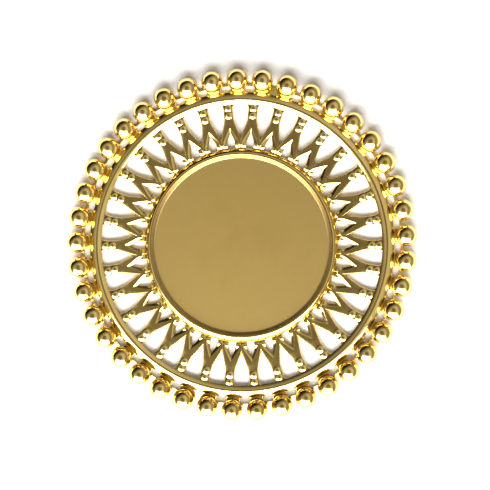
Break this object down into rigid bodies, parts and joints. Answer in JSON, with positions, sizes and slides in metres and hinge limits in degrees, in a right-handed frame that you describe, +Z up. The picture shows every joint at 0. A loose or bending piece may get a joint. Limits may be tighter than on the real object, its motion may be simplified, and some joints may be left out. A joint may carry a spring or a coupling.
{
  "type": "flower frog",
  "caption": "Openwork brass disc: a plain round dish, a ring of pierced Y-shaped struts that hold stems apart, a half-round rim and a border of balls.",
  "frame": {"origin": "centre of the dish plate's underside, level with the flat backs of the struts, the rim ring and the balls, so the part lies on the plane z = 0", "axes": "+Z up through the dish's centre; +X and +Y lie in the plane of the disc, the first strut a quarter of a degree from +X"},
  "size_m": [0.0899, 0.0899, 0.0046],
  "materials": {
    "polished_brass": "cast brass, polished bright, a little softened at the edges",
    "satin_brass": "flat satin floor, faintly clouded by handling and rubbing"
  },
  "bodies": {
    "root": {"dish_plate": "satin_brass", "bezel_ring": "polished_brass", "rim_ring": "polished_brass", "y_strut_01": "polished_brass", "y_strut_02": "polished_brass", "y_strut_03": "polished_brass", "y_strut_04": "polished_brass", "y_strut_05": "polished_brass", "y_strut_06": "polished_brass", "y_strut_07": "polished_brass", "y_strut_08": "polished_brass", "y_strut_09": "polished_brass", "y_strut_10": "polished_brass", "y_strut_11": "polished_brass", "y_strut_12": "polished_brass", "y_strut_13": "polished_brass", "y_strut_14": "polished_brass", "y_strut_15": "polished_brass", "y_strut_16": "polished_brass", "y_strut_17": "polished_brass", "y_strut_18": "polished_brass", "y_strut_19": "polished_brass", "y_strut_20": "polished_brass", "y_strut_21": "polished_brass", "y_strut_22": "polished_brass", "y_strut_23": "polished_brass", "y_strut_24": "polished_brass", "y_strut_25": "polished_brass", "y_strut_26": "polished_brass", "y_strut_27": "polished_brass", "y_strut_28": "polished_brass", "y_strut_29": "polished_brass", "y_strut_30": "polished_brass", "y_strut_31": "polished_brass", "y_strut_32": "polished_brass", "y_strut_33": "polished_brass", "y_strut_34": "polished_brass", "ball_border_left": "polished_brass", "ball_border_right": "polished_brass"}
  },
  "joints": []
}
